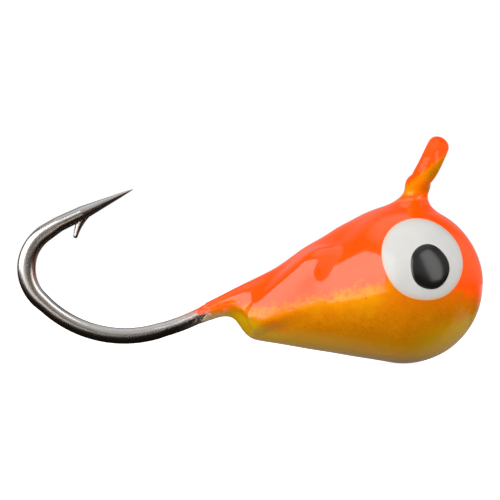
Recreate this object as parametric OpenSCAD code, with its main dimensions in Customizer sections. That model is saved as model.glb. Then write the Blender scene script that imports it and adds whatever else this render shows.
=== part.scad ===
// Ice fishing jig: a painted teardrop head, soldered on a hook bent from one wire.
// The jig lies in the XZ plane: the head points to +X, the line eye is on top and its centre is the origin.
// Everything is laid out around the centre of the head's ball and then moved to the line eye.

/* [Head] */
// Diameter of the bare ball
ball_d = 4.8; // [4:0.05:7]
// Diameter of the rounded tail
tail_d = 1.18; // [1:0.02:1.8]
// Distance from the centre of the ball back to the centre of the tail
tail_back = 4.64; // [4:0.02:6.5]
// Rise of the head's axis towards the ball, in degrees
head_angle = 13.8; // [8:0.1:18]

/* [Wire] */
// Diameter of the round wire
wire_d = 0.47; // [0.35:0.01:0.55]
// Depth of the shank's axis under the top of the ball
shank_depth = 0.625; // [0.5:0.005:0.9]
// Rise of the shank towards the head, in degrees
shank_angle = 24.5; // [20:0.1:30]
// Length of the straight shank, from the neck's corner to the start of the bend
shank_len = 7.6; // [6.9:0.02:11]
// How far the neck's corner lies ahead of the middle of the ball, along the shank
neck_ahead = 1.02; // [0.6:0.02:1.4]
// Radius of the neck's bend at the middle of the wire
neck_r = 0.5; // [0.35:0.01:0.8]
// Length of the stem, from the neck's corner to the wire of the line eye
stem_len = 1.24; // [1:0.02:2]
// Rise of the stem, in degrees
stem_angle = 75.5; // [65:0.1:90]

/* [Line eye] */
// Diameter of the ring at the middle of its wire
ring_d = 1.24; // [1.1:0.01:1.8]
// Diameter of the ring's wire, which forming leaves a little thicker
ring_wire_d = 0.49; // [0.4:0.01:0.6]
// Diameter of the hole for the line
eye_hole_d = 0.82; // [0.7:0.01:1]
// Rise of the ring's plane, in degrees
ring_angle = 63; // [50:0.1:80]

/* [Bend] */
// Radius of the gentle lead into the bend
lead_r = 6; // [4:0.1:9]
// Turn of the lead, in degrees
lead_angle = 8.3; // [4:0.1:14]
// Radius of the wide sweep
sweep_r = 3.67; // [2.8:0.01:5]
// Turn of the sweep, in degrees
sweep_angle = 58; // [45:0.1:65]
// Width of the forged wire in the sweep
sweep_d = 0.525; // [0.5:0.005:0.6]
// Radius of the tight throat
throat_r = 1.355; // [1:0.005:2]
// Turn of the throat, in degrees
throat_angle = 105; // [95:0.1:107]
// Width of the forged wire in the throat
throat_d = 0.584; // [0.55:0.002:0.66]
// Radius of the last turn, before the point
brow_r = 1.17; // [0.8:0.01:2]
// Thickness of the forged wire across its flats
forged_t = 0.44; // [0.3:0.01:0.46]
// Length over which the wire swells from one width to the next
swell_len = 0.3; // [0.2:0.01:0.5]
// Length over which the throat narrows to the point's arm
narrow_len = 0.4; // [0.25:0.01:0.7]

/* [Point and barb] */
// How much the point's arm opens away from the shank, in degrees
open_angle = 0.7; // [-3:0.1:4]
// Diameter of the point's arm
arm_d = 0.45; // [0.35:0.01:0.5]
// Straight length of the arm before the needle
arm_len = 0.75; // [0.5:0.01:1.4]
// Length of the needle
needle_len = 1.34; // [1:0.01:2]
// Diameter where the needle's last taper starts
needle_d = 0.146; // [0.1:0.002:0.2]
// Length of the last taper
tip_len = 0.43; // [0.25:0.01:0.7]
// Diameter of the very tip
tip_d = 0.03; // [0.02:0.005:0.06]
// Length of the barb from the middle of the wire
barb_len = 0.87; // [0.6:0.01:1]
// Angle between the barb and the wire, in degrees
barb_angle = 41; // [25:1:45]
// Diameter of the barb at its root
barb_root_d = 0.3; // [0.16:0.01:0.34]
// Diameter of the barb at its tip
barb_tip_d = 0.12; // [0.06:0.01:0.14]
// How far the barb's root lies past the start of the needle
barb_ahead = 0.1; // [0:0.01:0.3]

/* [Solder] */
// Room between the wire and each wall of the slot
slot_gap = 0.06; // [0.03:0.01:0.15]
// Distance from the neck's corner back to the end of the solder
solder_back = 6.4; // [5.8:0.02:6.6]
// Distance from the neck's corner back to the start of the ridge
ridge_back = 4.1; // [3.6:0.02:4.8]
// Distance from the neck's corner back to the top of the ridge
crest_back = 2.15; // [1.8:0.02:2.8]
// Thickness of the solder over the wire at its end
solder_edge = 0.03; // [0.02:0.005:0.06]
// Thickness of the solder over the wire at the top of the ridge
crest_t = 0.375; // [0.3:0.005:0.45]
// Width of the solder between the shank and the tail
web_w = 0.56; // [0.4:0.01:0.8]
// Width of the solder's collar round the stem
collar_t = 0.28; // [0.1:0.01:0.4]
// Height of the collar above the ball
collar_h = 0.25; // [0.15:0.01:0.45]

/* [Paint] */
// Thickness of the white primer
primer_t = 0.04; // [0.03:0.005:0.08]
// Thickness of the gold coat
base_t = 0.06; // [0.03:0.005:0.1]
// Thickness of the orange coat
top_t = 0.04; // [0.03:0.005:0.08]
// Distance from the neck's corner back to the end of the primer
primer_back = 7.3; // [7.1:0.02:7.5]
// How much shorter the gold coat is than the primer on the shank
base_short = 0.25; // [0.1:0.01:0.4]
// How far the orange coat reaches below the eye
top_below = 0.16; // [0.02:0.01:0.2]

/* [Eyes] */
// Diameter of the white of the eye
eye_d = 2.65; // [1.8:0.05:2.9]
// Thickness of the white
eye_t = 0.08; // [0.05:0.005:0.15]
// Turn of the eye towards the front, in degrees
eye_ahead_angle = 15.5; // [0:0.5:25]
// Rise of the eye above the middle of the ball, in degrees
eye_up_angle = 22; // [10:0.5:25]
// Width of the pupil
pupil_w = 1.3; // [0.8:0.02:1.4]
// Height of the pupil
pupil_h = 1.46; // [0.9:0.02:1.6]
// Thickness of the pupil
pupil_t = 0.06; // [0.04:0.005:0.12]
// Turn of the pupil towards the front from the middle of the eye, in degrees
pupil_ahead_angle = 2.5; // [0:0.1:8]
// Turn of the pupil down from the middle of the eye, in degrees
pupil_down_angle = 9.1; // [0:0.1:10]

/* [Hidden] */
$fn = 96;
// Reach of the cutting solids past what they cut
past = 1;
// How far straight wire runs into a bend
lap = 0.04;
// How much thicker bending leaves the wire
bend_gain = 0.01;
// How far the head's cone lies inside its tangent to the ball, so that the two cross cleanly
cone_inset = 0.006;
// Sides of the pupil's outline
pupil_sides = 40;

ball_r = ball_d / 2;
tail_r = tail_d / 2;
wire_r = wire_d / 2;
base_skin = primer_t + base_t;
top_skin = base_skin + top_t;
base_back = primer_back - base_short;

// A place is [x, z, heading]: headings are in degrees, anticlockwise from +X as seen from -Y.
function ahead(p, d) = [p[0] + d * cos(p[2]), p[1] + d * sin(p[2]), p[2]];
function above(p, d) = [p[0] - d * sin(p[2]), p[1] + d * cos(p[2]), p[2]];
function facing(p, heading) = [p[0], p[1], heading];
function bent(p, r, turn) = above(facing(above(p, -r), p[2] - turn), r);

// The middle of the ball, the tail, the neck's corner, and the line eye, from the head to the eye
ball = [0, 0, head_angle];
tail = ahead(ball, -tail_back);
shank_foot = above(facing(ball, shank_angle), ball_r - shank_depth);
corner = ahead(shank_foot, neck_ahead);
stem_top = ahead(facing(corner, stem_angle), stem_len);
line_eye = ahead(facing(stem_top, ring_angle), ring_d / 2);

// The wire, from the line eye to the point: [straight length, 0, 0, first and last diameter, forged or not],
// or [0, radius, turn, diameter, diameter, forged or not].
neck_angle = stem_angle - shank_angle;
neck_cut = neck_r * tan(neck_angle / 2);
brow_angle = 180 - open_angle - lead_angle - sweep_angle - throat_angle;
WIRE = [
    [stem_len - neck_cut, 0, 0, wire_d, wire_d, false],
    [0, neck_r, neck_angle, wire_d, wire_d, false],
    [shank_len - neck_cut, 0, 0, wire_d, wire_d, false],
    [0, lead_r, lead_angle, wire_d, wire_d, false],
    [swell_len, 0, 0, wire_d, sweep_d, true],
    [0, sweep_r, sweep_angle, sweep_d, sweep_d, true],
    [swell_len, 0, 0, sweep_d, throat_d, true],
    [0, throat_r, throat_angle, throat_d, throat_d, true],
    [narrow_len, 0, 0, throat_d, arm_d, true],
    [0, brow_r, brow_angle, arm_d, arm_d, false]
];
function after(p, step) = step[0] > 0 ? ahead(p, step[0]) : bent(p, step[1], step[2]);
function places(p, i = 0) = i == len(WIRE) ? [p] : concat([p], places(after(p, WIRE[i]), i + 1));
PLACES = places(facing(stem_top, stem_angle + 180));
arm = PLACES[len(WIRE)];
needle = ahead(arm, arm_len);

// The eye's lower edge, and the plane through it and the tail where the orange coat ends
top_r = ball_r + top_skin;
eye_depth = sqrt(top_r * top_r - eye_d * eye_d / 4);
eye_low_x = (eye_depth * cos(eye_up_angle) + eye_d / 2 * sin(eye_up_angle)) * sin(eye_ahead_angle);
eye_low_z = eye_depth * sin(eye_up_angle) - eye_d / 2 * cos(eye_up_angle) - top_below;
top_edge = facing(tail, atan2(eye_low_z - tail[1], eye_low_x - tail[0]));
reach = ball_d + tail_back + shank_len;

module at(p) translate([p[0], 0, p[1]]) rotate([0, -p[2], 0]) children();

// A straight length of round wire, or a cone, ahead of a place
module straight(p, len, d1, d2) at(p) rotate([0, 90, 0]) cylinder(h = len, d1 = d1, d2 = d2);

// A bend of round wire that turns clockwise from a place
module bend(p, r, turn, d) {
    at(above(p, -r)) rotate([90, 0, 0]) rotate([0, 0, 90 - turn])
        rotate_extrude(angle = turn) translate([r, 0]) circle(d = d);
}

// A turned length of wire ahead of a place, from its [distance, radius] stations
module turned(p, stations) {
    last = len(stations) - 1;
    at(p) rotate([0, 90, 0]) rotate_extrude() polygon([
        [0, stations[0][0]], for (s = stations) [s[1], s[0]], [0, stations[last][0]]
    ]);
}

// One step of the wire
module wire_step(i) {
    step = WIRE[i];
    if (step[0] > 0) straight(ahead(PLACES[i], -lap), step[0] + 2 * lap, step[3], step[4]);
    else bend(PLACES[i], step[1], step[2], step[3] + bend_gain);
}

// The arm, the needle and its tip
module point() {
    turned(arm, [
        [-lap, arm_d / 2], [arm_len, arm_d / 2], [arm_len + needle_len, needle_d / 2],
        [arm_len + needle_len + tip_len, tip_d / 2]
    ]);
}

// The forged steps between their two flats, and the round steps as they are
module wire() {
    for (i = [0 : len(WIRE) - 1])
        if (!WIRE[i][5]) wire_step(i);
    intersection() {
        union() for (i = [0 : len(WIRE) - 1])
            if (WIRE[i][5]) wire_step(i);
        cube([2 * reach, forged_t, 2 * reach], center = true);
    }
}

// The ring of the line eye with its hole still closed by the wire's own roundness
module ring(film) {
    at(line_eye) rotate_extrude() translate([ring_d / 2, 0]) circle(d = ring_wire_d + 2 * film);
}

// The hole for the line
module eye_hole() at(line_eye) cylinder(h = 2 * ring_d, d = eye_hole_d, center = true);

module barb() {
    root = ahead(needle, barb_ahead);
    straight(facing(root, root[2] + 180 + barb_angle), barb_len, barb_root_d, barb_tip_d);
}

module jig_frame() translate([-line_eye[0], 0, -line_eye[1]]) children();

// The teardrop: ball, cone and tail, all grown by a film's thickness
module teardrop(film) {
    ball_f = ball_r + film;
    tail_f = tail_r + film;
    lean = asin((ball_f - tail_f) / tail_back);
    at(ball) sphere(r = ball_f);
    at(tail) sphere(r = tail_f);
    straight(
        ahead(tail, -tail_f * sin(lean)), tail_back - (ball_f - tail_f) * sin(lean),
        2 * (tail_f * cos(lean) - cone_inset), 2 * (ball_f * cos(lean) - cone_inset)
    );
}

// The slot for the wire, open to the top and to the tail
module slot() {
    room = wire_r + slot_gap;
    at(corner) translate([-reach, -room, -room]) cube([reach + room, 2 * room, ball_d]);
}

// The solder along the shank: a thin sleeve, then a ridge that sinks into the ball
module ridge(film) {
    edge_r = wire_r + solder_edge + film;
    crest_r = wire_r + crest_t + film;
    turned(corner, [
        [-solder_back, edge_r], [-ridge_back, edge_r], [-crest_back, crest_r], [-neck_ahead, crest_r]
    ]);
}

// The solder between the shank and the tail, in the plane of the jig
module web(film) {
    back = ahead(corner, -solder_back);
    rotate([90, 0, 0]) linear_extrude(web_w + 2 * film, center = true)
        polygon([[tail[0], tail[1]], [0, 0], [shank_foot[0], shank_foot[1]], [back[0], back[1]]]);
}

// The collar of solder where the stem leaves the ball
module collar(film) {
    top_d = wire_d + 2 * (solder_edge + film);
    straight(facing(corner, stem_angle), shank_depth + collar_h + film, top_d + 2 * collar_t, top_d);
}

// Everything under a film of paint: head, solder, stem and line eye
module painted(film, back) {
    teardrop(film);
    ridge(film);
    web(film);
    collar(film);
    straight(facing(corner, stem_angle), stem_len, wire_d + 2 * film, wire_d + 2 * film);
    straight(ahead(corner, -back), back - ridge_back, wire_d + 2 * film, wire_d + 2 * film);
    ring(film);
}

// The space above the plane where the orange coat ends
module upper_half() at(top_edge) translate([-reach, -reach, 0]) cube(2 * reach);

module hook() {
    color("dimgray") jig_frame() difference() {
        union() {
            wire();
            point();
            barb();
            ring(0);
        }
        eye_hole();
    }
}

module head_core() {
    color("slategray") jig_frame() difference() {
        teardrop(0);
        slot();
    }
}

module solder_fill() {
    color("lightgray") jig_frame() difference() {
        union() {
            ridge(0);
            web(0);
            collar(0);
            intersection() {
                slot();
                teardrop(0);
            }
        }
        difference() {
            teardrop(0);
            slot();
        }
        wire();
    }
}

module primer_coat() {
    color("ivory") jig_frame() difference() {
        painted(primer_t, primer_back);
        painted(0, primer_back + past);
        eye_hole();
    }
}

module base_coat() {
    color("goldenrod") jig_frame() difference() {
        painted(base_skin, base_back);
        painted(primer_t, primer_back);
        eye_hole();
    }
}

module top_coat() {
    color("orangered") jig_frame() intersection() {
        difference() {
            union() {
                teardrop(top_skin);
                ridge(top_skin);
                web(top_skin);
            }
            painted(base_skin, base_back);
        }
        upper_half();
    }
}

// A place on the side of the head, turned towards the front and upwards
module on_side(turn, rise) rotate([90 - rise, 0, turn]) children();

module eye_white() {
    difference() {
        intersection() {
            on_side(eye_ahead_angle, eye_up_angle) cylinder(h = ball_d, d = eye_d);
            sphere(r = top_r + eye_t);
        }
        sphere(r = top_r);
    }
}

module pupil() {
    outline = [
        for (i = [0 : pupil_sides - 1])
            [pupil_w / 2 * cos(360 * i / pupil_sides), pupil_h / 2 * sin(360 * i / pupil_sides)]
    ];
    difference() {
        intersection() {
            on_side(eye_ahead_angle + pupil_ahead_angle, eye_up_angle - pupil_down_angle)
                linear_extrude(ball_d) polygon(outline);
            sphere(r = top_r + eye_t + pupil_t);
        }
        sphere(r = top_r + eye_t);
    }
}

module eye_white_left() color("white") jig_frame() mirror([0, 1, 0]) eye_white();

module eye_white_right() color("white") jig_frame() eye_white();

module pupil_left() color("black") jig_frame() mirror([0, 1, 0]) pupil();

module pupil_right() color("black") jig_frame() pupil();

hook();
head_core();
solder_fill();
primer_coat();
base_coat();
top_coat();
eye_white_left();
eye_white_right();
pupil_left();
pupil_right();
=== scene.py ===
import math

import bmesh
import bpy
import numpy as np
import openvdb
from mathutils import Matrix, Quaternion, Vector


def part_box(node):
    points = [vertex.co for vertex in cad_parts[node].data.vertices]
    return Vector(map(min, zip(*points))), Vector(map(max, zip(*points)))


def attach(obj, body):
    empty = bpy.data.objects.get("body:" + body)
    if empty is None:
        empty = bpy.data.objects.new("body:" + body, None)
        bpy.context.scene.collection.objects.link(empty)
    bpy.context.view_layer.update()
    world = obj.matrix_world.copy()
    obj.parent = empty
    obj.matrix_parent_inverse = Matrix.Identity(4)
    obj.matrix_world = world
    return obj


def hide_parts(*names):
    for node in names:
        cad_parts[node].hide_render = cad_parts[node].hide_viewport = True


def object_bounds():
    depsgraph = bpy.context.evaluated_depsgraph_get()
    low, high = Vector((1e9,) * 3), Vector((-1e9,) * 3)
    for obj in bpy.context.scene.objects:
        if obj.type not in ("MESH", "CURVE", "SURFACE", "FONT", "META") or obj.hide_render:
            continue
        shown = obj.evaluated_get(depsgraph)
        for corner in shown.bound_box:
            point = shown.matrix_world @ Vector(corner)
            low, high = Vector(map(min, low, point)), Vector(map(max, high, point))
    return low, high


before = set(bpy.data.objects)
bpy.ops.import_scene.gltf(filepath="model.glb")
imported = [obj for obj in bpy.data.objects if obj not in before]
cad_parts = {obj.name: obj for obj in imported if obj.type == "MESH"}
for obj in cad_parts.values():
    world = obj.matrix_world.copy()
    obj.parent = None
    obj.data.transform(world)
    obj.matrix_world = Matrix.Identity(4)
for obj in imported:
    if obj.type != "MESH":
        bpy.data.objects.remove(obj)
cad_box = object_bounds()

# Hook: one length of carbon steel wire, drawn round, closed to an eye, bent to a J and pressed flat at its
# bend. The end is ground to a needle with one barb cut up from it, and all is plated dark nickel.
# Points are in millimetres from the centre of the line eye, and a place is (x, z, heading in degrees).
MM = 0.001
wire_d = 0.47
ring_r = 0.62
bare_eye_r, bare_eye_radial, bare_eye_axial = 0.655, 0.21, 0.24
ring_angle = 63.0
stem_len = 1.24
stem_angle = 75.5
shank_len = 7.6
shank_angle = 24.5
neck_r = 0.5
lead_r, lead_turn = 6.0, 8.3
sweep_r, sweep_turn = 3.67, 58.0
throat_r, throat_turn = 1.355, 105.0
brow_r, brow_turn = 1.17, 8.0
swell_len = 0.3
narrow_len = 0.4
arm_len = 0.75
needle_len = 1.34
tip_len = 0.43
sweep_d = 0.525
throat_d = 0.59
brow_d = 0.545
forged_t = 0.44
arm_d = 0.45
needle_d = 0.146
tip_d = 0.03
round_wire, forged_wire = 2.0, 2.2
wire_sides = 32
wire_step = 0.05


def walk(place, length, turn=0.0):
    """The place after a length of wire that turns evenly to the right."""
    x, z, heading = place
    way = math.radians(heading - turn / 2)
    chord = length * np.sinc(turn / 360)
    return x + chord * math.cos(way), z + chord * math.sin(way), heading - turn


def arc(radius, turn):
    """Length of wire in a bend."""
    return radius * math.radians(turn)


def piece(name, points, faces):
    """A smooth mesh object with its faces turned outwards."""
    mesh = bpy.data.meshes.new(name)
    mesh.from_pydata((np.asarray(points) * MM).tolist(), [], faces)
    work = bmesh.new()
    work.from_mesh(mesh)
    bmesh.ops.recalc_face_normals(work, faces=work.faces)
    work.to_mesh(mesh)
    work.free()
    mesh.shade_smooth()
    made = bpy.data.objects.new(name, mesh)
    bpy.context.scene.collection.objects.link(made)
    return made


def lattice(rings, sides, loop=False):
    """Faces between closed rings of points, with the last ring joined to the first or the ends capped."""
    faces = []
    for i in range(rings if loop else rings - 1):
        a = i * sides
        b = (i + 1) % rings * sides
        for j in range(sides):
            k = (j + 1) % sides
            faces.append((a + j, a + k, b + k, b + j))
    if not loop:
        faces.append(tuple(range(sides)))
        faces.append(tuple(range((rings - 1) * sides, rings * sides)))
    return faces


def mark(obj, name, values):
    """Stores a vector on each point of a mesh, for its material."""
    layer = obj.data.attributes.new(name, "FLOAT_VECTOR", "POINT")
    layer.data.foreach_set("vector", np.asarray(values, np.float32).ravel())


def drawn(name, stations):
    """A wire through stations of (place, distance along it, width, depth, squareness)."""
    x, z, heading = (np.array([s[0][i] for s in stations]) for i in range(3))
    along, width, depth, square = (np.array([s[i] for s in stations]) for i in range(1, 5))
    turn = np.linspace(0, 2 * math.pi, wire_sides, endpoint=False)
    power = (2 / square)[:, None]
    across = np.sign(np.cos(turn)) * np.abs(np.cos(turn)) ** power * (width / 2)[:, None]
    side = np.sign(np.sin(turn)) * np.abs(np.sin(turn)) ** power * (depth / 2)[:, None]
    slope = np.radians(heading)[:, None]
    points = np.stack([x[:, None] - np.sin(slope) * across, side, z[:, None] + np.cos(slope) * across], -1)
    made = piece(name, points.reshape(-1, 3), lattice(len(stations), wire_sides))
    grid = np.broadcast_arrays(along[:, None], np.cos(turn)[None], np.sin(turn)[None])
    mark(made, "wire", np.stack(grid, -1).reshape(-1, 3))
    return made


def hoop(name, middle_r, half_radial, half_axial, rings=64, sides=24):
    """The closed ring of the line eye, seen edge-on from the side of the jig."""
    rise = math.radians(ring_angle)
    around = np.linspace(0, 2 * math.pi, rings, endpoint=False)[:, None]
    turn = np.linspace(0, 2 * math.pi, sides, endpoint=False)[None]
    out = middle_r + half_radial * np.cos(turn)
    along = out * np.cos(around)
    axial = half_axial * np.sin(turn) + 0 * around
    points = np.stack([
        along * math.cos(rise) - axial * math.sin(rise),
        out * np.sin(around),
        along * math.sin(rise) + axial * math.cos(rise),
    ], -1)
    made = piece(name, points.reshape(-1, 3), lattice(rings, sides, loop=True))
    grid = np.broadcast_arrays(around * middle_r, np.cos(turn), np.sin(turn))
    mark(made, "wire", np.stack(grid, -1).reshape(-1, 3))
    return made


def fused(target, *tools):
    """The target with the tools joined to it as one closed mesh."""
    for tool in tools:
        join = target.modifiers.new("join", "BOOLEAN")
        join.operation = "UNION"
        join.solver = "EXACT"
        join.object = tool
    ready = target.evaluated_get(bpy.context.evaluated_depsgraph_get())
    mesh = bpy.data.meshes.new_from_object(ready)
    target.modifiers.clear()
    target.data = mesh
    for tool in tools:
        bpy.data.objects.remove(tool)
    mesh.shade_smooth()
    return target


neck_turn = stem_angle - shank_angle
neck_cut = neck_r * math.tan(math.radians(neck_turn / 2))
stem_top = walk((0.0, 0.0, ring_angle + 180), ring_r)
stem_top = (stem_top[0], stem_top[1], stem_angle + 180)
corner = walk(stem_top, stem_len)
# Each run of the wire: its length, its turn, and its width, depth and squareness at the end
runs = [
    (stem_len - neck_cut, 0, wire_d, wire_d, round_wire),
    (arc(neck_r, neck_turn), neck_turn, wire_d, wire_d, round_wire),
    (shank_len - neck_cut, 0, wire_d, wire_d, round_wire),
    (arc(lead_r, lead_turn), lead_turn, wire_d, wire_d, round_wire),
    (swell_len, 0, (wire_d + sweep_d) / 2, forged_t, forged_wire),
    (arc(sweep_r, sweep_turn), sweep_turn, sweep_d, forged_t, forged_wire),
    (swell_len, 0, (sweep_d + throat_d) / 2, forged_t, forged_wire),
    (arc(throat_r, throat_turn / 2), throat_turn / 2, throat_d, forged_t, forged_wire),
    (arc(throat_r, throat_turn / 2), throat_turn / 2, brow_d, forged_t, forged_wire),
    (narrow_len, 0, (brow_d + arm_d) / 2, forged_t, forged_wire),
    (arc(brow_r, brow_turn), brow_turn, (brow_d + 2 * arm_d) / 3, arm_d, round_wire),
    (arm_len, 0, arm_d, arm_d, round_wire),
    (needle_len, 0, needle_d, needle_d, round_wire),
    (tip_len, 0, tip_d, tip_d, round_wire),
]
place = stem_top
along = 0.0
size = (wire_d, wire_d, round_wire)
stations = [(place, along, *size)]
starts = []
for length, turn, *end in runs:
    starts.append(place)
    count = math.ceil(length / wire_step)
    for i in range(1, count + 1):
        share = i / count
        grown = [a + (b - a) * share for a, b in zip(size, end)]
        stations.append((walk(place, length * share, turn * share), along + length * share, *grown))
    place = walk(place, length, turn)
    along += length
    size = tuple(end)

# The barb is a sliver cut from the needle, which is the last run but one, and lifted. It is wide along the
# wire at its root and thin at its tip.
barb_ahead = 0.08
barb_angle = 38.0
barb_turn = 14.0
barb_len = 0.88
barb_root_d, barb_tip_d = 0.46, 0.14
barb_root_t, barb_tip_t = 0.32, 0.11
barb_taper = 1.6
blunt_len = 0.06
blunt_least = 0.02
barb_start = walk(starts[-2], barb_ahead)
barb_start = (barb_start[0], barb_start[1], barb_start[2] + 180 + barb_angle)
barb_stations = []
for share in (*np.linspace(0, 0.9, 10), 0.93, 0.96, 0.98, 0.995, 1.0):
    left = 1 - share
    blunt = math.sqrt(1 - max(1 - left * barb_len / blunt_len, 0) ** 2) + blunt_least
    barb_stations.append((
        walk(barb_start, barb_len * share, -barb_turn * share),
        along - needle_len + barb_len * share,
        (barb_tip_d + (barb_root_d - barb_tip_d) * left ** barb_taper) * min(blunt, 1),
        (barb_tip_t + (barb_root_t - barb_tip_t) * left) * min(blunt, 1),
        round_wire,
    ))
hook = fused(
    drawn("hook_wire", stations),
    drawn("barb_sliver", barb_stations),
    hoop("eye_wire", bare_eye_r, bare_eye_radial, bare_eye_axial),
)


class Shade:
    """The output of a shader node, for shader maths written as expressions; node() adds any other node."""

    def __init__(self, tree, output=None):
        self.tree = tree
        self.output = output

    def feed(self, made, sockets):
        """Sets or links the inputs of a node."""
        for name, value in sockets.items():
            if isinstance(value, Shade):
                self.tree.links.new(value.output, made.inputs[name])
            else:
                made.inputs[name].default_value = value

    def node(self, kind, settings, sockets, output=0):
        """One output of a new node, with its settings made before its inputs."""
        made = self.tree.nodes.new("ShaderNode" + kind)
        for name, value in settings.items():
            setattr(made, name, value)
        self.feed(made, sockets)
        return Shade(self.tree, made.outputs[output])

    def maths(self, operation, *values):
        return self.node("Math", {"operation": operation}, dict(enumerate(values)))

    def __add__(self, other):
        return self.maths("ADD", self, other)

    def __sub__(self, other):
        return self.maths("SUBTRACT", self, other)

    def __rsub__(self, other):
        return self.maths("SUBTRACT", other, self)

    def __mul__(self, other):
        return self.maths("MULTIPLY", self, other)

    def __truediv__(self, other):
        return self.maths("DIVIDE", self, other)

    __radd__ = __add__
    __rmul__ = __mul__

    def larger(self, other):
        return self.maths("MAXIMUM", self, other)

    def step(self, low, high):
        """0 below low, 1 above high, and a smooth rise between."""
        rise = {"Value": self, "From Min": low, "From Max": high}
        return self.node("MapRange", {"interpolation_type": "SMOOTHSTEP"}, rise)

    def mix(self, first, second):
        """The first colour where this is 0, the second where it is 1."""
        return self.node("Mix", {"data_type": "RGBA"}, {0: self, 6: first, 7: second}, 2)

    def vector(self, operation, other, output=0):
        return self.node("VectorMath", {"operation": operation}, {0: self, 1: other}, output)

    def along(self, direction):
        """How far this point lies along a direction."""
        return self.vector("DOT_PRODUCT", direction, "Value")

    def noise(self, scale, detail=2.0, roughness=0.5):
        """Noise about zero, at a scale in waves per unit of this vector."""
        look = {"Vector": self, "Scale": scale, "Detail": detail, "Roughness": roughness}
        return self.node("TexNoise", {}, look, "Fac") - 0.5

    def bump(self, distance, strength=1.0):
        """A normal from this height; distance is in millimetres."""
        look = {"Height": self, "Distance": distance * MM, "Strength": strength}
        return self.node("Bump", {}, look, "Normal")


def colour(red, green, blue):
    return (red, green, blue, 1.0)


def new_finish(name):
    """A new material with its Shade, and its points in millimetres from the line eye."""
    made = bpy.data.materials.new(name)
    made.use_nodes = True
    shade = Shade(made.node_tree)
    here = shade.node("TexCoord", {}, {}, "Object")
    return made, shade, here.vector("MULTIPLY", (1 / MM,) * 3)


def dress(obj, made, shade, sockets):
    """Sets a material's surface and puts it on an object."""
    shade.feed(made.node_tree.nodes["Principled BSDF"], sockets)
    obj.data.materials.clear()
    obj.data.materials.append(made)


def flat_vector(angle):
    """A direction in the jig's plane, at an angle above +X in degrees."""
    return (math.cos(math.radians(angle)), 0.0, math.sin(math.radians(angle)))


corner_point = (corner[0], 0.0, corner[1])
orange = colour(1.0, 0.075, 0.002)
overspray_way = 7.24
dust_way = 7.667
plate_dark, plate_light = colour(0.5, 0.487, 0.475), colour(0.66, 0.65, 0.64)
# The brown of the painted shade on the underside of the wire
painted_shade_brown = colour(0.25, 0.21, 0.18)
dust_cream = colour(0.62, 0.5, 0.36)

made, shade, here = new_finish("dark_nickel")
wire = shade.node("Attribute", {"attribute_name": "wire"}, {}, "Vector")
lines = wire.vector("MULTIPLY", (0.45, 9.0, 9.0)).noise(1.0, 3.0, 0.6)
cloud = here.noise(1.6, 3.0)
from_corner = here.vector("SUBTRACT", corner_point)
shank_way = from_corner.along(flat_vector(shank_angle))
shank_up = from_corner.along(flat_vector(shank_angle + 90))
mist = here.noise(9.0, 3.0, 0.65)
flecks = here.noise(13.0, 2.0, 0.6)
near_shank = shank_up.step(0.6, 0.3)
overspray = shank_up * 2.4 + (shank_way + overspray_way) * 0.5 + mist * 1.6
overspray = overspray.step(0.0, 0.6) * near_shank * 0.8
dust = shank_up * 1.2 + (shank_way + dust_way) * 0.9 + flecks * 2.4
dust = dust.step(0.0, 0.7) * near_shank * 0.7
plate = (lines * 0.9 + cloud * 0.7 + 0.5).mix(plate_dark, plate_light)
# Painted shade: the side of the wire that faces down, and a little back, is coloured a darker brown, as if
# it lay in the shade under the wire
facing = shade.node("NewGeometry", {}, {}, "Normal").along((-0.25, 0, 1))
painted_underside_shade = (facing + lines * 0.1 + cloud * 0.1).step(0.3, -0.25)
plate = painted_underside_shade.mix(plate, painted_shade_brown)
covered = overspray.larger(dust)
dress(hook, made, shade, {
    "Base Color": overspray.mix(dust.mix(plate, dust_cream), orange),
    "Metallic": 1 - covered * 0.9,
    "Roughness": 0.27 + lines * 0.1 + cloud * 0.08 + covered * 0.15,
    "Normal": lines.bump(0.006, 0.25),
})
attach(hook, "root")
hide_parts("hook")

# Head core: tungsten powder with a nickel binder, pressed to a teardrop with a slot for the wire and then
# sintered. It keeps the grey, finely pitted skin of the press; paint covers all of it.
made, shade, here = new_finish("sintered_tungsten")
grain = here.noise(14.0, 4.0, 0.65)
pits = here.noise(5.0, 2.0)
dress(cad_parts["head_core"], made, shade, {
    "Base Color": (grain * 1.4 + 0.5).mix(colour(0.24, 0.24, 0.26), colour(0.4, 0.4, 0.42)),
    "Metallic": 1.0,
    "Roughness": 0.55 + grain * 0.25 + pits * 0.1,
    "Normal": (grain + pits).bump(0.03, 0.6),
})

# Solder: tin solder that fills the slot round the wire and stands up in a low ridge along the top of the
# head. It froze with a satin, slightly frosted skin; paint covers all of it.
made, shade, here = new_finish("tin_solder")
frost = here.noise(7.0, 3.0)
flow = here.vector("MULTIPLY", (0.5, 2.0, 2.0)).noise(1.5, 2.0)
dress(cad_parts["solder_fill"], made, shade, {
    "Base Color": (frost * 1.2 + flow + 0.5).mix(colour(0.5, 0.5, 0.51), colour(0.68, 0.68, 0.67)),
    "Metallic": 1.0,
    "Roughness": 0.34 + frost * 0.25,
    "Normal": (frost * 0.5 + flow).bump(0.02, 0.5),
})

# Primer: white powder primer, baked on before the colours. Only its ragged end shows on the shank, as a thin
# cream sleeve that ends in tongues, dusted with orange from above.
primer_back = 7.3
primer_front = 5.6
primer_r = 0.275
primer_edge_r = 0.24
primer_bore_r = 0.225
primer_rag = 0.16
primer_edge_share = 0.25
primer_rings, primer_sides = 18, 96


def ragged(turn, size):
    """The uneven end of a dipped coat, round the wire."""
    return size * (0.5 * np.sin(3 * turn + 1.0) + 0.3 * np.sin(7 * turn + 2.0) + 0.2 * np.sin(13 * turn))


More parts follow.
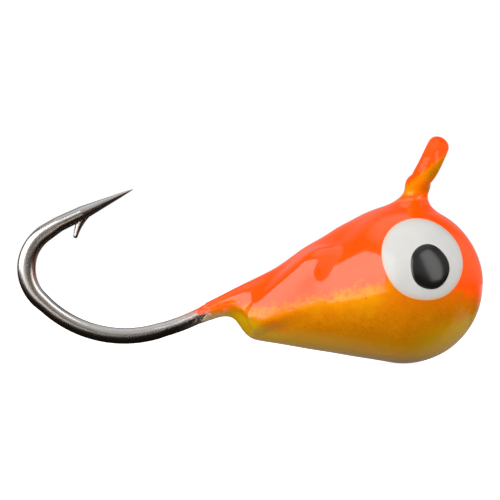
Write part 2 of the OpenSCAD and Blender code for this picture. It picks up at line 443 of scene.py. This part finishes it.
turn = np.linspace(0, 2 * math.pi, primer_sides, endpoint=False)
end = -primer_back + ragged(turn, primer_rag)
shares = np.linspace(0, 1, primer_rings)[:, None]
way = end + shares * (-primer_front - end)
swell = np.minimum(shares / primer_edge_share, 1) ** 0.5
radius = primer_edge_r + (primer_r - primer_edge_r) * swell + 0 * turn
way = np.concatenate([way, way[::-1]])
radius = np.concatenate([radius, np.full_like(radius, primer_bore_r)])
ahead = np.array(flat_vector(shank_angle))
upward = np.array(flat_vector(shank_angle + 90))
sideways = np.array((0.0, 1.0, 0.0))
points = np.array(corner_point) + way[..., None] * ahead
points = points + (radius * np.cos(turn))[..., None] * upward + (radius * np.sin(turn))[..., None] * sideways
primer = piece("primer_sleeve", points.reshape(-1, 3), lattice(2 * primer_rings, primer_sides, loop=True))

made, shade, here = new_finish("white_primer")
shank_up = here.vector("SUBTRACT", corner_point).along(flat_vector(shank_angle + 90))
mist = here.noise(7.0, 3.0, 0.6)
stain = here.noise(4.0, 3.0, 0.6)
dusted = (shank_up * 2.6 + mist * 1.1 + 0.3).step(0.0, 0.6)
cream = (stain * 2.0 + 0.5).mix(colour(0.30, 0.2, 0.12), colour(0.74, 0.6, 0.42))
dress(primer, made, shade, {
    "Base Color": dusted.mix(cream, orange),
    "Roughness": 0.42 + stain * 0.3,
    "Normal": (stain + mist).bump(0.015, 0.6),
    "Coat Weight": 0.4,
    "Coat Roughness": 0.1,
})
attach(primer, "root")
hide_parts("primer_coat")

# Base coat: gold pearl paint over the whole head, the stem and the line eye, in one skin that rounds every
# corner. It lies thick on the solder, so the shank swells from a thin sleeve to a broad ridge on the ball.
# The skin is the distance to a rounded union of the forms under it, measured from the middle of the ball.
coat_low, coat_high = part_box("base_coat")
ball_r = (coat_high.y - coat_low.y) / 2 / MM
ball = np.array((coat_high.x / MM - ball_r, 0.0, coat_low.z / MM + ball_r))
tail_r = 0.67
tail_back = 4.64
head_angle = 13.8
extra_paint = 0.02
shank_over_ball = float((np.array(corner_point) - ball) @ upward)
corner_ahead = float((np.array(corner_point) - ball) @ ahead)
# The sleeve's radius along the shank, by the distance behind the neck's corner
sleeve_way = (-7.05, -6.5, -5.6, -4.46, -3.45, -2.16, -1.02, -0.2)
sleeve_r = (0.285, 0.3, 0.3, 0.32, 0.49, 0.7, 0.555, 0.49)
sleeve_back, sleeve_front = 7.05, 0.2
sleeve_rag, sleeve_rag_turn = 0.14, 2.0
# The fillet along the sleeve is larger at the tail, and more so in the jig's plane, where solder makes a web
tail_fillet, ball_fillet = 0.5, 0.42
tail_fillet_way, ball_fillet_way = -6.5, -4.2
web_fillet, web_half = 0.38, 0.35
# The cheeks: from a squarish section by the ball to a round one at the tail
cheek_fore, cheek_back = np.array((-2.28, 0.0, -0.32)), np.array((-4.16, 0.0, -1.1))
cheek_fore_r, cheek_back_r = 1.59, 1.0
cheek_fore_square, cheek_back_square = 4.9, 2.3
cheek_fore_under, cheek_back_under = 1.0, 2.5
cheek_reach = 0.7
cheek_fillet = 0.2
stem_r = 0.311
stem_share = 0.9
stem_fillet = 0.7
eye_r, eye_radial, eye_axial = 0.685, 0.28, 0.335
eye_bow_foot, eye_bow_top = 0.12, 0.03
eye_forward = 0.037
eye_foot_thinner = 0.03
eye_fillet = 0.3
# The orange ends on two lines along the side of the head, each a height and a slope, on the shank's upper
# side, and at the neck
edge_back, edge_fore = (0.13, 0.223), (0.3, -0.33)
orange_way, orange_up, orange_slope = 6.2, 0.05, 0.9
neck_tilt = 0.1
neck_low, neck_high = 2.7, 2.82
feather = 0.3
wave_height, droplet_height = 0.008, 0.0015
droplet_below, droplet_band = 0.15, 0.3
film_t = 0.012
voxel = 0.05


def rounded_union(a, b, blend):
    """The union of two distances with a fillet of about that size."""
    near = np.maximum(blend - np.abs(a - b), 0) / blend
    return np.minimum(a, b) - near * near * blend / 4


def smooth(value, low, high):
    """0 below low, 1 above high, and a smooth rise between."""
    share = np.clip((value - low) / (high - low), 0, 1)
    return share * share * (3 - 2 * share)


def eased(ways, sizes, reach=0.45, step=0.01):
    """A table of sizes along the shank with its corners rounded off."""
    fine = np.arange(ways[0] - reach, ways[-1] + reach, step)
    count = int(reach / step)
    padded = np.pad(np.interp(fine, ways, sizes), count, mode="edge")
    window = np.hanning(2 * count + 1)
    return fine, np.convolve(padded, window / window.sum(), mode="valid")


sleeve_way, sleeve_r = eased(sleeve_way, sleeve_r)


def round_cone(out, back, length, fore_r, back_r):
    """Distance to two spheres and the cone between them, by the distance from their axis and along it."""
    slope = (fore_r - back_r) / length
    rest = math.sqrt(1 - slope * slope)
    zone = rest * back - slope * out
    on_fore = np.hypot(out, back) - fore_r
    on_back = np.hypot(out, back - length) - back_r
    on_cone = out * rest + back * slope - fore_r
    return np.where(zone < 0, on_fore, np.where(zone > rest * length, on_back, on_cone))


def teardrop(p):
    """Distance to the ball, the tail and the cone between them."""
    back = -(p @ np.array(flat_vector(head_angle)))
    out = np.sqrt(np.maximum((p * p).sum(-1) - back * back, 0))
    return round_cone(out, back, tail_back, ball_r, tail_r) - extra_paint


def cheeks(p):
    """Distance to the flat cheeks that the solder and paint fill out between the shank and the cone."""
    off = p - cheek_fore
    length = np.linalg.norm(cheek_back - cheek_fore)
    way = (cheek_back - cheek_fore) / length
    back = off @ way
    height = off @ np.array((way[2], 0.0, -way[0]))
    side = np.abs(off[..., 1])
    share = np.clip(back / length, 0, 1)
    square = cheek_fore_square + (cheek_back_square - cheek_fore_square) * share
    under = cheek_fore_under + (cheek_back_under - cheek_fore_under) * share
    upper = (np.maximum(height, 0) ** square + side ** square) ** (1 / square)
    out = np.where(height > 0, upper, np.hypot(side, under * height))
    filled = round_cone(out, back, length, cheek_fore_r, cheek_back_r)
    return np.maximum(filled, back - length - cheek_reach)


def shank_place(p):
    """How far a point lies along the shank from the neck's corner, and above the wire."""
    return p @ ahead - corner_ahead, p @ upward - shank_over_ball


def painted_sleeve(p):
    """Distance to the paint and solder round the shank."""
    way, up = shank_place(p)
    turn = np.arctan2(p[..., 1], up)
    open_end = ragged(turn + sleeve_rag_turn, sleeve_rag) - sleeve_back - way
    past = np.maximum(way + sleeve_front, 0)
    out = np.sqrt(p[..., 1] ** 2 + up ** 2 + past ** 2)
    return np.maximum(out - np.interp(way, sleeve_way, sleeve_r), open_end)


def painted_stem(p):
    """Distance to the paint round the stem."""
    rise = np.array(flat_vector(stem_angle))
    start = np.array(corner_point) - ball
    share = np.clip((p - start) @ rise, 0, stem_len * stem_share)
    off = p - start - share[..., None] * rise
    return np.sqrt((off * off).sum(-1)) - stem_r


def painted_eye(p):
    """Distance to the painted line eye, which is bent a little out of its plane and thinner at its foot."""
    off = p + ball
    up = off @ np.array(flat_vector(ring_angle))
    bow = np.where(up < 0, eye_bow_foot, eye_bow_top)
    over = off @ np.array(flat_vector(ring_angle + 90)) + eye_forward - bow * up * up
    out = np.hypot(up, off[..., 1]) - eye_r
    axial = eye_axial - eye_foot_thinner * smooth(-up, 0.2, 0.7)
    return (np.hypot(out / eye_radial, over / axial) - 1) * eye_radial


def orange_edge(x):
    """Height of the line where the orange coat ends on the side of the head."""
    return np.minimum(edge_back[0] + edge_back[1] * x, edge_fore[0] + edge_fore[1] * x)


def droplets(x, y, z):
    """The grain that the last droplets of the spray leave along the line where it ends."""
    grain = np.sin(19 * x + 2.0 * np.sin(9 * z)) * np.sin(21 * z + 2.0 * np.sin(8 * x + 5 * y))
    return grain * np.exp(-((z - orange_edge(x) + droplet_below) / droplet_band) ** 2)


def skin(p):
    """Distance to the outside of the paint, with the slow waves that wet paint dries in."""
    way = shank_place(p)[0]
    at_tail = tail_fillet + web_fillet * np.exp(-(p[..., 1] / web_half) ** 2)
    blend = ball_fillet + (at_tail - ball_fillet) * smooth(way, ball_fillet_way, tail_fillet_way)
    body = rounded_union(teardrop(p), cheeks(p), cheek_fillet)
    body = rounded_union(body, painted_sleeve(p), blend)
    body = rounded_union(body, painted_stem(p), stem_fillet)
    body = rounded_union(body, painted_eye(p), eye_fillet)
    x, y, z = p[..., 0], p[..., 1], p[..., 2]
    wave = np.sin(2.9 * x + 1.3 * z) * np.sin(2.3 * y + 0.7) * np.sin(2.6 * z - 1.1 * x)
    return body + wave_height * wave + droplet_height * droplets(x, y, z)


def orange_share(p):
    """How much of the orange coat lies on a point: all of it over the upper half, none on the line eye."""
    way, up = shank_place(p)
    level = p[..., 2] - orange_edge(p[..., 0])
    level = np.minimum(level, up + orange_up + orange_slope * np.maximum(way + orange_way, 0))
    on_stem = smooth(p[..., 2] - neck_tilt * p[..., 0], neck_low, neck_high)
    return smooth(level, -feather, feather) * (1 - on_stem)


def gold_skin(p):
    """Distance to the base coat, which lies under the orange film."""
    return skin(p) + film_t * orange_share(p)


def settled(p, distance, rounds=4):
    """Points moved on to a surface along its slope, and their outward directions."""
    small = 1e-4
    for _ in range(rounds):
        slope = np.stack([
            (distance(p + small * axis) - distance(p - small * axis)) / (2 * small) for axis in np.eye(3)
        ], -1)
        steep = (slope * slope).sum(-1, keepdims=True)
        p = p - distance(p)[..., None] * slope / steep
    return p, slope / np.sqrt(steep)


margin = 3 * voxel
low = np.array((coat_low.x, coat_low.y, coat_low.z)) / MM - ball - margin
high = np.array((coat_high.x, coat_high.y, coat_high.z)) / MM - ball + margin
ticks = [np.arange(a, b, voxel) for a, b in zip(low, high)]
layers = [gold_skin(np.stack(np.meshgrid([x], *ticks[1:], indexing="ij"), -1))[0] for x in ticks[0]]
volume = openvdb.FloatGrid(1.0)
volume.copyFromArray(np.array(layers, np.float32))
coat_points, coat_faces = volume.convertToQuads(0.0)
coat_points, coat_out = settled(coat_points * voxel + low, gold_skin)
base = piece("gold_skin", coat_points + ball, coat_faces.tolist())

# The paint's colours, and where the line eye begins, where gold shows in a seam under it, and where the
# coats thin out on the shank
gold_deep, gold_light = colour(0.68, 0.19, 0.0), colour(0.84, 0.31, 0.0)
olive = colour(0.68, 0.38, 0.003)
honey_deep, honey_light = colour(0.95, 0.2, 0.001), colour(1.0, 0.35, 0.001)
cream_deep, cream_light = colour(0.33, 0.2, 0.06), colour(0.75, 0.56, 0.28)
orange_deep, orange_light = colour(1.0, 0.062, 0.001), colour(1.0, 0.095, 0.003)
# The painted glow of the orange coat
orange_glow = colour(0.34, 0.02, 0.0)
line_eye_low, line_eye_high = 2.68, 2.92
seam_height = 2.66
thin_way = 6.75


def paint(here):
    """The paint: its colour, its share of orange, its flakes, and where it lies on the line eye.

    It is gold pearl with orange sprayed on from above. The orange ends in a speckled line and hangs on below
    it as an amber mist. It reaches down the shank's upper side, where the coats thin out to the primer, and
    over the back of the line eye.
    """
    head = here.vector("SUBTRACT", tuple(ball))
    x = head.along((1, 0, 0))
    z = head.along((0, 0, 1))
    from_corner = here.vector("SUBTRACT", corner_point)
    way = from_corner.along(flat_vector(shank_angle))
    up = from_corner.along(flat_vector(shank_angle + 90))
    grain = here.noise(5.0, 3.0, 0.6)
    fine = here.noise(15.0, 2.0, 0.6)
    patch = here.noise(1.4, 3.0)
    # Height over the line where the orange ends, and the spray on the head with its stray drops
    ends = [x * slope + height for height, slope in (edge_back, edge_fore)]
    level = z - x.maths("SMOOTH_MIN", *ends, 0.4)
    on_shank = up + orange_up + orange_slope * (way + orange_way).larger(0.0)
    level = level.maths("SMOOTH_MIN", level, on_shank, 0.2)
    on_head = (level + grain * 0.8 + fine * 0.5).step(-0.2, 0.3)
    spots = {"Vector": here, "Scale": 7.0}
    drop = here.node("TexVoronoi", {}, spots, "Distance").step(0.34, 0.2)
    pick = here.node("TexVoronoi", {}, spots, "Color").along((1, 0, 0)).step(0.66, 0.72)
    on_head = on_head.larger(drop * pick * (level + grain).step(-1.0, 0.0) * 0.7)
    # Spray on the line eye, and the seam under it
    eye_up = here.along(flat_vector(ring_angle))
    eye_over = here.along(flat_vector(ring_angle + 90))
    on_eye = (eye_up * 1.2 + eye_over * 2.6 + 0.25 + grain * 0.4).step(-0.3, 0.3)
    neck = z - x * neck_tilt
    at_eye = neck.step(line_eye_low, line_eye_high)
    spray = on_head * (1 - at_eye) + on_eye * at_eye
    seam = neck.maths("ABSOLUTE", neck - seam_height).step(0.06, 0.02)
    spray = spray * (1 - seam * 0.8)
    # Gold pearl, olive at the bottom of the head and honey where the amber mist hangs
    deep = level / (2.9 - x.larger(x * -0.46))
    flakes = here.node("TexVoronoi", {}, {"Vector": here, "Scale": 24.0}, "Color").along((1 / 3,) * 3)
    gold = (flakes + grain * 0.8 + patch).mix(gold_deep, gold_light)
    gold = (deep + grain * 0.3).step(-0.5, -0.95).mix(gold, olive)
    amber = (deep + grain * 0.35 + fine * 0.2).step(-0.6, -0.1)
    amber = amber * (1 - at_eye * eye_over.step(0.0, -0.25))
    middle = (x * -0.28 - 0.45).larger(x * 0.75 + 0.9).larger(0.0)
    honey = fine * 0.8 + patch * 1.6 - middle * (1 - at_eye) + 1.0
    gold = amber.mix(gold, honey.mix(honey_deep, honey_light))
    # Cream of the primer on the shank's underside
    low_side = up.maths("MINIMUM", up * -1.2, 0.35)
    thin = (low_side - way - thin_way + grain * 1.3).step(0.0, 0.35)
    gold = thin.mix(gold, (grain * 2.2 + 0.5).mix(cream_deep, cream_light))
    pigment = (fine * 0.8 + grain * 0.6 + 0.5).mix(orange_deep, orange_light)
    return spray.mix(gold, pigment), spray, flakes, at_eye


def paint_sockets(here):
    """The paint's surface: a soft pearl under a clear gloss."""
    base_colour, spray, flakes, at_eye = paint(here)
    ripple = here.noise(3.2, 1.0)
    return {
        "Base Color": base_colour,
        "Metallic": (1 - spray) * 0.18,
        "Roughness": 0.42 + (flakes - 0.5) * 0.12 + spray * 0.06,
        "Specular IOR Level": 0.0,
        # A painted glow: the orange gives off a steady light of its own, in place of the extra light that
        # fluorescent paint gives back when lit
        "Emission Color": spray.mix(colour(0, 0, 0), orange_glow),
        "Emission Strength": 1.0,
        "Normal": ripple.bump(0.02, 0.25),
        "Coat Weight": (0.8 + spray * 0.2) * (1 - at_eye * 0.6),
        "Coat Roughness": 0.11,
        "Coat IOR": 1.5,
    }


made, shade, here = new_finish("gold_pearl")
dress(base, made, shade, paint_sockets(here))
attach(base, "root")
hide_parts("base_coat")

# Top coat: fluorescent orange, sprayed from above over the gold, with a clear gloss. It is a thin film that
# feathers out along the sides of the head, on the shank and at the foot of the stem.
edge_dip = 0.003
film_under = 0.012
least_share = 0.01
share = orange_share(coat_points)
keep = (share[coat_faces] > least_share).all(1)
film_faces = coat_faces[keep]
used = np.unique(film_faces)
number = np.full(len(coat_points), -1)
number[used] = np.arange(len(used))
film_faces = number[film_faces]
lift = film_t * share[used] - edge_dip * (1 - share[used])
outside = coat_points[used] + lift[:, None] * coat_out[used]
inside = coat_points[used] - (film_under + edge_dip) * coat_out[used]
edges = np.concatenate([film_faces[:, [i, (i + 1) % 4]] for i in range(4)])
both = {tuple(e) for e in edges.tolist()}
border = [e for e in both if (e[1], e[0]) not in both]
count = len(used)
faces = film_faces.tolist() + (film_faces[:, ::-1] + count).tolist()
faces += [(b, a, a + count, b + count) for a, b in sorted(border)]
top = piece("orange_film", np.concatenate([outside, inside]) + ball, faces)
made, shade, here = new_finish("orange_gloss")
dress(top, made, shade, paint_sockets(here))
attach(top, "root")
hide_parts("top_coat")

# Eye whites: a drop of white enamel on each side of the ball, stamped by hand. It stands up as a low dome
# with a rounded edge, where the enamel is thin and the orange shows through.
eye_wide, eye_high = 2.68, 2.82
eye_ahead_angle = 15.5
eye_up_angle = 22.0
eye_top_r = 2.6
sunk = 0.06
white_wobble = 0.006
dome_power = 5
foot_share = 0.98


def enamel_dot(name, side, turn, rise, wide, high, seat_r, top_r, wobble, rings=28, sides=96):
    """A domed drop on the side of the ball; side is -1 on the right and 1 on the left."""
    a, e = math.radians(turn), math.radians(rise)
    axis = np.array((math.sin(a) * math.cos(e), -math.cos(a) * math.cos(e), math.sin(e)))
    level = np.array((math.cos(a), math.sin(a), 0.0))
    plumb = np.cross(level, axis)
    spread = np.sin(np.linspace(0, math.pi / 2, rings + 1)[1:])
    around = np.linspace(0, 2 * math.pi, sides, endpoint=False)
    shape = 1 + wobble * (np.sin(3 * around + 1.0) + 0.6 * np.sin(5 * around + 2.0))
    flat = np.stack([wide / 2 * np.cos(around) * shape, high / 2 * np.sin(around) * shape], -1)

    def shell(share, radius):
        offset = share * flat
        deep = np.sqrt(radius ** 2 - (offset ** 2).sum(-1))
        return deep[:, None] * axis + offset[:, :1] * level + offset[:, 1:] * plumb

    domed = [shell(s, seat_r + (top_r - seat_r) * math.sqrt(1 - s ** dome_power)) for s in spread]
    domed.append(shell(foot_share, seat_r - sunk))
    points = np.concatenate([*domed, [axis * top_r, axis * (seat_r - sunk)]])
    radial = np.concatenate([np.repeat(spread, sides), np.full(sides, 1.0), [0.0, 1.0]])
    faces = lattice(rings + 1, sides)[:-2]
    last = rings * sides
    for j in range(sides):
        k = (j + 1) % sides
        faces.append((j, k, len(points) - 2))
        faces.append((last + k, last + j, len(points) - 1))
    points = points * (1, -side, 1)
    made = piece(name, points + ball, faces)
    mark(made, "dot", np.stack([radial, 0 * radial, 0 * radial], -1))
    return made


made, shade, here = new_finish("white_enamel")
rim_share = shade.node("Attribute", {"attribute_name": "dot"}, {}, "Vector").along((1, 0, 0))
cloud = here.noise(1.8, 2.0)
speck = here.noise(22.0, 2.0, 0.6)
thin = (rim_share + cloud * 0.05).step(0.9, 1.0)
enamel = (cloud * 1.2 + speck * 0.5 + 0.5).mix(colour(0.63, 0.623, 0.595), colour(0.71, 0.703, 0.675))
white_sockets = {
    "Base Color": (thin * 0.6).mix(enamel, colour(0.85, 0.52, 0.3)),
    "Roughness": 0.5 + speck * 0.1,
    "Specular IOR Level": 0.2,
    "Normal": cloud.bump(0.02, 0.3),
    "Coat Weight": 0.6,
    "Coat Roughness": 0.2,
}
for name, side in (("eye_white_left", 1), ("eye_white_right", -1)):
    white = enamel_dot(
        name + "_dome", side, eye_ahead_angle, eye_up_angle,
        eye_wide, eye_high, ball_r, eye_top_r, white_wobble,
    )
    dress(white, made, shade, white_sockets)
    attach(white, "root")
    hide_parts(name)

# Pupils: a smaller drop of black enamel on each white, off its centre towards the front and below, a little
# taller than wide. It is glossy, and its edge is uneven where the drop ran.
pupil_wide, pupil_high = 1.3, 1.46
pupil_ahead_angle = 2.5
pupil_down_angle = 9.1
pupil_top_r = 2.66
pupil_sunk = 0.01
pupil_wobble = 0.018
made, shade, here = new_finish("black_enamel")
rim_share = shade.node("Attribute", {"attribute_name": "dot"}, {}, "Vector").along((1, 0, 0))
cloud = here.noise(2.5, 2.0)
thin = (rim_share + cloud * 0.06).step(0.92, 1.0)
black_sockets = {
    "Base Color": (thin * 0.6 + cloud * 0.1).mix(colour(0.008, 0.008, 0.008), colour(0.06, 0.05, 0.04)),
    "Roughness": 0.34 + cloud * 0.1,
    "Specular IOR Level": 0.0,
    "Normal": cloud.bump(0.02, 0.35),
    "Coat Weight": 1.0,
    "Coat Roughness": 0.2,
}
for name, side in (("pupil_left", 1), ("pupil_right", -1)):
    pupil = enamel_dot(
        name + "_dome", side, eye_ahead_angle + pupil_ahead_angle, eye_up_angle - pupil_down_angle,
        pupil_wide, pupil_high, eye_top_r - pupil_sunk, pupil_top_r, pupil_wobble,
    )
    dress(pupil, made, shade, black_sockets)
    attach(pupil, "root")
    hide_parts(name)

# Floor: a plain pale table just under the head. It glows white to the camera and keeps the jig's shadow.
# In the gloss of the jig it is pale behind and close under the jig and dim in front, and the far table on
# the left is as bright as the lamp on that side.
floor_drop = 0.03
floor_half = 400.0
floor_glow = 0.86
behind_glow, near_glow = 0.6, 0.35
lamp_level = 2.6
lit_angle = math.radians(-44)
floor_z = cad_box[0].z / MM - floor_drop
floor = piece(
    "table",
    [(x * floor_half, y * floor_half, floor_z) for x, y in ((-1, -1), (1, -1), (1, 1), (-1, 1))],
    [(0, 1, 2, 3)],
)
made, shade, here = new_finish("pale_table")


def seen_as_white(shade, behind):
    """1 for the camera and through glass, and for gloss where the backdrop stands; then 1 for all gloss."""
    names = ("Is Camera Ray", "Is Transmission Ray", "Is Glossy Ray")
    camera, through, gloss = [shade.node("LightPath", {}, {}, name) for name in names]
    return camera.larger(through).larger(gloss * behind), gloss


foot = (ball[0], 0.0, floor_z)
away = here.vector("DISTANCE", foot, "Value")
back = here.along((0, 1, 0))
near = away.step(7.0, 5.0) * back.step(-1.7, -0.8)
turned = (back / away).step(0.6, 1.0) * behind_glow
white, gloss = seen_as_white(shade, turned.larger(near * near_glow))
far = away.step(20.0, 90.0)
lit_way = (math.sin(lit_angle), -math.cos(lit_angle), 0)
bearing = here.vector("SUBTRACT", foot).along(lit_way) / away
lit_side = bearing.step(0.945, 0.96) * away.step(12.0, 16.0) * gloss * lamp_level
dress(floor, made, shade, {
    "Base Color": gloss.mix(colour(0.6, 0.6, 0.6), colour(0.03, 0.022, 0.016)),
    "Roughness": 1.0,
    "Specular IOR Level": 0.0,
    "Emission Color": white * (floor_glow + far * (1.0 - floor_glow)) + lit_side,
    "Emission Strength": 1.0,
})

# Studio: a large soft box on the left and a tall strip on the right, in a dim room with a white backdrop.
# The ceiling and the walls show only in the gloss of the jig; the rest gets an even light, which is stronger
# from the right.
room = 0.035
backdrop = 0.35
overhead, overhead_fall = 0.85, 0.3
right_wall, left_wall, front_wall = 0.4, 0.3, 0.5
ambient, ambient_side, ambient_rise, ambient_least = 0.34, 0.6, 0.15, 0.1
world = bpy.data.worlds.new("studio")
world.use_nodes = True
bpy.context.scene.world = world
shade = Shade(world.node_tree)
gaze = shade.node("TexCoord", {}, {}, "Generated")
side = gaze.along((1, 0, 0))
back = gaze.along((0, 1, 0))
rise = gaze.along((0, 0, 1))
white, gloss = seen_as_white(shade, back.step(0.6, 1.0) * backdrop)
ceiling = rise.step(0.74, 0.92) * (overhead - side * overhead_fall)
right = side.step(0.45, 0.75) * rise.step(-0.1, 0.2) * right_wall
left = back.step(0.2, 0.6) * side.step(0.0, -0.35) * rise.step(0.2, 0.4) * left_wall
front = back.step(-0.3, -0.6) * rise.step(0.02, 0.3) * front_wall
mirrored = room + ceiling.larger(right).larger(left).larger(front)
even = (ambient + side * ambient_side + rise * ambient_rise).larger(ambient_least)
strength = white + (1 - white) * (gloss * mirrored + (1 - gloss) * even)
dim = gloss * (1 - white) * rise.step(0.5, 0.2)
tint = dim.mix(colour(1, 1, 1), colour(1.0, 0.78, 0.6))
shade.feed(world.node_tree.nodes["Background"], {"Color": tint, "Strength": strength})


def soft_box(name, azimuth, elevation, distance, wide, high, radiance, roll=0.0):
    """A rectangular lamp that faces the ball, at an azimuth from the camera's side towards the right."""
    a, e = math.radians(azimuth), math.radians(elevation)
    way = Vector((math.sin(a) * math.cos(e), -math.cos(a) * math.cos(e), math.sin(e)))
    data = bpy.data.lights.new(name, "AREA")
    data.shape = "RECTANGLE"
    data.size = wide * MM
    data.size_y = high * MM
    data.energy = 4 * radiance * data.size * data.size_y
    made = bpy.data.objects.new(name, data)
    made.location = Vector(ball * MM) + way * distance * MM
    made.rotation_mode = "QUATERNION"
    made.rotation_quaternion = way.to_track_quat("Z", "Y") @ Quaternion((0, 0, 1), math.radians(roll))
    bpy.context.scene.collection.objects.link(made)


lamp_away = 250.0
soft_box("left_box", -58, 14.2, lamp_away, wide=310, high=264, radiance=lamp_level)
soft_box("right_strip", 44, 23, lamp_away, wide=108, high=280, radiance=2.0, roll=13)

# Camera: level with the middle of the jig and square to its side. The lens is long and stands far away, so
# the jig shows with almost no perspective.
view_middle = np.array((-5.658, 0.0, -2.709))
view_width = 15.873
lens = 400.0
sensor = 36.0
camera_data = bpy.data.cameras.new("camera")
camera_data.lens = lens
camera_data.sensor_width = sensor
camera_data.clip_start = 0.001
camera = bpy.data.objects.new("camera", camera_data)
camera.location = Vector((view_middle - (0, view_width * lens / sensor, 0)) * MM)
camera.rotation_euler = (math.pi / 2, 0, 0)
bpy.context.scene.collection.objects.link(camera)
bpy.context.scene.camera = camera
bpy.context.scene.view_settings.view_transform = "Standard"

bpy.context.view_layer.update()
